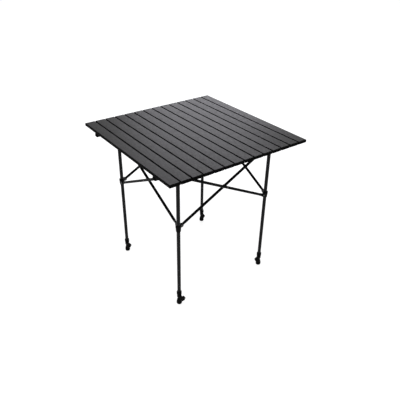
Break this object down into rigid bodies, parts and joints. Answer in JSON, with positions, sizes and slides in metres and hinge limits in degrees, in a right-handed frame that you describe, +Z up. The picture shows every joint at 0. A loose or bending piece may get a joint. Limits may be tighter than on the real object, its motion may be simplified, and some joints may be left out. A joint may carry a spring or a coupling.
{
  "type": "folding camp table",
  "caption": "Square folding camp table: a roll-up aluminium slat top on a four-legged scissor frame with adjustable feet.",
  "frame": {"origin": "on the floor, under the middle of the table", "axes": "+Z up, +Y along the slats, +X across them; the slat top faces +Z"},
  "size_m": [0.698, 0.7, 0.7],
  "materials": {
    "slat_metal": "dark satin anodised, fine grain",
    "frame_tube": "black satin powder coat",
    "cap_plastic": "black moulded",
    "hub_plastic": "black moulded, light texture",
    "foot_plastic": "black moulded",
    "knob_plastic": "black moulded",
    "rivet_steel": "blackened steel",
    "elastic_cord": "black braided elastic"
  },
  "bodies": {
    "brace_back_inner": {"brace_back_inner": "frame_tube", "centre_pin_back": "rivet_steel"},
    "brace_back_outer": {"brace_back_outer": "frame_tube"},
    "brace_front_inner": {"brace_front_inner": "frame_tube"},
    "brace_front_outer": {"brace_front_outer": "frame_tube", "centre_pin_front": "rivet_steel"},
    "brace_left_inner": {"brace_left_inner": "frame_tube"},
    "brace_left_outer": {"brace_left_outer": "frame_tube", "centre_pin_left": "rivet_steel"},
    "brace_right_inner": {"brace_right_inner": "frame_tube", "centre_pin_right": "rivet_steel"},
    "brace_right_outer": {"brace_right_outer": "frame_tube"},
    "slat_01": {"elastic_cord_back": "elastic_cord", "elastic_cord_front": "elastic_cord", "slat_01": "slat_metal"},
    "foot_back_left": {"foot_back_left": "foot_plastic"},
    "foot_back_right": {"foot_back_right": "foot_plastic"},
    "leg_back_left": {"foot_collar_back_left": "hub_plastic", "leg_tube_back_left": "frame_tube", "top_hub_back_left": "hub_plastic"},
    "leg_back_right": {"foot_collar_back_right": "hub_plastic", "leg_tube_back_right": "frame_tube", "top_hub_back_right": "hub_plastic"},
    "leg_front_left": {"foot_collar_front_left": "hub_plastic", "leg_tube_front_left": "frame_tube", "top_hub_front_left": "hub_plastic"},
    "leg_front_right": {"foot_collar_front_right": "hub_plastic", "leg_tube_front_right": "frame_tube", "top_hub_front_right": "hub_plastic"},
    "foot_front_left": {"foot_front_left": "foot_plastic"},
    "foot_front_right": {"foot_front_right": "foot_plastic"},
    "knob_back_left": {"knob_back_left": "knob_plastic"},
    "knob_back_right": {"knob_back_right": "knob_plastic"},
    "knob_front_left": {"knob_front_left": "knob_plastic"},
    "knob_front_right": {"knob_front_right": "knob_plastic"},
    "rails": {"rail_back": "frame_tube", "rail_cap_back_left": "cap_plastic", "rail_cap_back_right": "cap_plastic", "rail_cap_front_left": "cap_plastic", "rail_cap_front_right": "cap_plastic", "rail_front": "frame_tube"},
    "slat_02": {"slat_02": "slat_metal"},
    "slat_03": {"slat_03": "slat_metal"},
    "slat_04": {"slat_04": "slat_metal"},
    "slat_05": {"slat_05": "slat_metal"},
    "slat_06": {"slat_06": "slat_metal"},
    "slat_07": {"slat_07": "slat_metal"},
    "slat_08": {"slat_08": "slat_metal"},
    "slat_09": {"slat_09": "slat_metal"},
    "slat_10": {"slat_10": "slat_metal"},
    "slat_11": {"slat_11": "slat_metal"},
    "slat_12": {"slat_12": "slat_metal"},
    "slat_13": {"slat_13": "slat_metal"},
    "slat_14": {"slat_14": "slat_metal"},
    "slide_hub_back_left": {"slide_hub_back_left": "hub_plastic"},
    "slide_hub_back_right": {"slide_hub_back_right": "hub_plastic"},
    "slide_hub_front_left": {"slide_hub_front_left": "hub_plastic"},
    "slide_hub_front_right": {"slide_hub_front_right": "hub_plastic"}
  },
  "joints": [
    {"name": "frame_fold", "type": "hinge", "parent": "leg_front_left", "child": "brace_front_outer", "pos_m": [-0.2215, -0.25, 0.647], "axis": [0, 1, 0], "range_deg": [0, 56.4]},
    {"name": "fold_front_crossing", "type": "hinge", "parent": "brace_front_outer", "child": "brace_front_inner", "pos_m": [0, -0.242, 0.5325], "axis": [0, 1, 0], "range_deg": [-112.8, 0]},
    {"name": "fold_leg_front_right", "type": "hinge", "parent": "brace_front_inner", "child": "leg_front_right", "pos_m": [0.2215, -0.234, 0.647], "axis": [0, 1, 0], "range_deg": [0, 56.4]},
    {"name": "fold_left_hung_brace", "type": "hinge", "parent": "leg_front_left", "child": "brace_left_outer", "pos_m": [-0.25, -0.2215, 0.647], "axis": [-1, 0, 0], "range_deg": [0, 56.4]},
    {"name": "fold_left_crossing", "type": "hinge", "parent": "brace_left_outer", "child": "brace_left_inner", "pos_m": [-0.242, 0, 0.5325], "axis": [-1, 0, 0], "range_deg": [-112.8, 0]},
    {"name": "fold_leg_back_left", "type": "hinge", "parent": "brace_left_inner", "child": "leg_back_left", "pos_m": [-0.234, 0.2215, 0.647], "axis": [-1, 0, 0], "range_deg": [0, 56.4]},
    {"name": "fold_right_hung_brace", "type": "hinge", "parent": "leg_front_right", "child": "brace_right_inner", "pos_m": [0.234, -0.2215, 0.647], "axis": [-1, 0, 0], "range_deg": [0, 56.4]},
    {"name": "fold_right_crossing", "type": "hinge", "parent": "brace_right_inner", "child": "brace_right_outer", "pos_m": [0.242, 0, 0.5325], "axis": [-1, 0, 0], "range_deg": [-112.8, 0]},
    {"name": "fold_leg_back_right", "type": "hinge", "parent": "brace_right_outer", "child": "leg_back_right", "pos_m": [0.25, 0.2215, 0.647], "axis": [-1, 0, 0], "range_deg": [0, 56.4]},
    {"name": "fold_back_hung_brace", "type": "hinge", "parent": "leg_back_left", "child": "brace_back_inner", "pos_m": [-0.2215, 0.234, 0.647], "axis": [0, 1, 0], "range_deg": [0, 56.4]},
    {"name": "fold_back_crossing", "type": "hinge", "parent": "brace_back_inner", "child": "brace_back_outer", "pos_m": [0, 0.242, 0.5325], "axis": [0, 1, 0], "range_deg": [-112.8, 0]},
    {"name": "fold_slide_front_left", "type": "hinge", "parent": "brace_front_inner", "child": "slide_hub_front_left", "pos_m": [-0.2215, -0.234, 0.418], "axis": [0, 1, 0], "range_deg": [0, 56.4]},
    {"name": "fold_slide_front_right", "type": "hinge", "parent": "brace_front_outer", "child": "slide_hub_front_right", "pos_m": [0.2215, -0.25, 0.418], "axis": [0, 1, 0], "range_deg": [-56.4, 0]},
    {"name": "fold_slide_back_left", "type": "hinge", "parent": "brace_left_outer", "child": "slide_hub_back_left", "pos_m": [-0.25, 0.2215, 0.418], "axis": [-1, 0, 0], "range_deg": [-56.4, 0]},
    {"name": "fold_slide_back_right", "type": "hinge", "parent": "brace_right_inner", "child": "slide_hub_back_right", "pos_m": [0.234, 0.2215, 0.418], "axis": [-1, 0, 0], "range_deg": [-56.4, 0]},
    {"name": "top_lift", "type": "slide", "parent": "leg_front_left", "child": "rails", "axis": [0, 0, 1], "range_m": [0, 0.25]},
    {"name": "slat_lift", "type": "slide", "parent": "rails", "child": "slat_01", "axis": [0, 0, 1], "range_m": [0, 0.2]},
    {"name": "slat_hinge_02", "type": "hinge", "parent": "slat_01", "child": "slat_02", "pos_m": [-0.3, 0, 0.7], "axis": [0, -1, 0], "range_deg": [0, 35], "deforming": ["elastic_cord_front", "elastic_cord_back"]},
    {"name": "slat_hinge_03", "type": "hinge", "parent": "slat_02", "child": "slat_03", "pos_m": [-0.25, 0, 0.7], "axis": [0, -1, 0], "range_deg": [0, 35.62], "deforming": ["elastic_cord_front", "elastic_cord_back"]},
    {"name": "slat_hinge_04", "type": "hinge", "parent": "slat_03", "child": "slat_04", "pos_m": [-0.2, 0, 0.7], "axis": [0, -1, 0], "range_deg": [0, 36.5], "deforming": ["elastic_cord_front", "elastic_cord_back"]},
    {"name": "slat_hinge_05", "type": "hinge", "parent": "slat_04", "child": "slat_05", "pos_m": [-0.15, 0, 0.7], "axis": [0, -1, 0], "range_deg": [0, 37.62], "deforming": ["elastic_cord_front", "elastic_cord_back"]},
    {"name": "slat_hinge_06", "type": "hinge", "parent": "slat_05", "child": "slat_06", "pos_m": [-0.1, 0, 0.7], "axis": [0, -1, 0], "range_deg": [0, 39], "deforming": ["elastic_cord_front", "elastic_cord_back"]},
    {"name": "slat_hinge_07", "type": "hinge", "parent": "slat_06", "child": "slat_07", "pos_m": [-0.05, 0, 0.7], "axis": [0, -1, 0], "range_deg": [0, 40.62], "deforming": ["elastic_cord_front", "elastic_cord_back"]},
    {"name": "slat_hinge_08", "type": "hinge", "parent": "slat_07", "child": "slat_08", "pos_m": [0, 0, 0.7], "axis": [0, -1, 0], "range_deg": [0, 42.5], "deforming": ["elastic_cord_front", "elastic_cord_back"]},
    {"name": "slat_hinge_09", "type": "hinge", "parent": "slat_08", "child": "slat_09", "pos_m": [0.05, 0, 0.7], "axis": [0, -1, 0], "range_deg": [0, 44.62], "deforming": ["elastic_cord_front", "elastic_cord_back"]},
    {"name": "slat_hinge_10", "type": "hinge", "parent": "slat_09", "child": "slat_10", "pos_m": [0.1, 0, 0.7], "axis": [0, -1, 0], "range_deg": [0, 47], "deforming": ["elastic_cord_front", "elastic_cord_back"]},
    {"name": "slat_hinge_11", "type": "hinge", "parent": "slat_10", "child": "slat_11", "pos_m": [0.15, 0, 0.7], "axis": [0, -1, 0], "range_deg": [0, 49.62], "deforming": ["elastic_cord_front", "elastic_cord_back"]},
    {"name": "slat_hinge_12", "type": "hinge", "parent": "slat_11", "child": "slat_12", "pos_m": [0.2, 0, 0.7], "axis": [0, -1, 0], "range_deg": [0, 52.5], "deforming": ["elastic_cord_front", "elastic_cord_back"]},
    {"name": "slat_hinge_13", "type": "hinge", "parent": "slat_12", "child": "slat_13", "pos_m": [0.25, 0, 0.7], "axis": [0, -1, 0], "range_deg": [0, 55.62], "deforming": ["elastic_cord_front", "elastic_cord_back"]},
    {"name": "slat_hinge_14", "type": "hinge", "parent": "slat_13", "child": "slat_14", "pos_m": [0.3, 0, 0.7], "axis": [0, -1, 0], "range_deg": [0, 59], "deforming": ["elastic_cord_front", "elastic_cord_back"]},
    {"name": "height_front_left", "type": "slide", "parent": "leg_front_left", "child": "foot_front_left", "axis": [0, 0, -1], "range_m": [0, 0.03]},
    {"name": "height_front_right", "type": "slide", "parent": "leg_front_right", "child": "foot_front_right", "axis": [0, 0, -1], "range_m": [0, 0.03]},
    {"name": "height_back_left", "type": "slide", "parent": "leg_back_left", "child": "foot_back_left", "axis": [0, 0, -1], "range_m": [0, 0.03]},
    {"name": "height_back_right", "type": "slide", "parent": "leg_back_right", "child": "foot_back_right", "axis": [0, 0, -1], "range_m": [0, 0.03]},
    {"name": "clamp_front_left", "type": "hinge", "parent": "leg_front_left", "child": "knob_front_left", "pos_m": [-0.242, -0.242, 0.049], "axis": [0, -1, 0], "range_deg": [0, 360]},
    {"name": "clamp_front_right", "type": "hinge", "parent": "leg_front_right", "child": "knob_front_right", "pos_m": [0.242, -0.242, 0.049], "axis": [-0.866, -0.5, 0], "range_deg": [0, 360]},
    {"name": "clamp_back_right", "type": "hinge", "parent": "leg_back_right", "child": "knob_back_right", "pos_m": [0.242, 0.242, 0.049], "axis": [-0.4226, -0.9063, 0], "range_deg": [0, 360]},
    {"name": "clamp_back_left", "type": "hinge", "parent": "leg_back_left", "child": "knob_back_left", "pos_m": [-0.242, 0.242, 0.049], "axis": [-0.1736, -0.9848, 0], "range_deg": [0, 360]}
  ],
  "couplings": [
    {"joint": "fold_front_crossing", "follows": "frame_fold", "ratio": -2},
    {"joint": "fold_leg_front_right", "follows": "frame_fold", "ratio": 1},
    {"joint": "fold_left_hung_brace", "follows": "frame_fold", "ratio": 1},
    {"joint": "fold_left_crossing", "follows": "frame_fold", "ratio": -2},
    {"joint": "fold_leg_back_left", "follows": "frame_fold", "ratio": 1},
    {"joint": "fold_right_hung_brace", "follows": "frame_fold", "ratio": 1},
    {"joint": "fold_right_crossing", "follows": "frame_fold", "ratio": -2},
    {"joint": "fold_leg_back_right", "follows": "frame_fold", "ratio": 1},
    {"joint": "fold_back_hung_brace", "follows": "frame_fold", "ratio": 1},
    {"joint": "fold_back_crossing", "follows": "frame_fold", "ratio": -2},
    {"joint": "fold_slide_front_left", "follows": "frame_fold", "ratio": 1},
    {"joint": "fold_slide_front_right", "follows": "frame_fold", "ratio": -1},
    {"joint": "fold_slide_back_left", "follows": "frame_fold", "ratio": -1},
    {"joint": "fold_slide_back_right", "follows": "frame_fold", "ratio": -1}
  ]
}
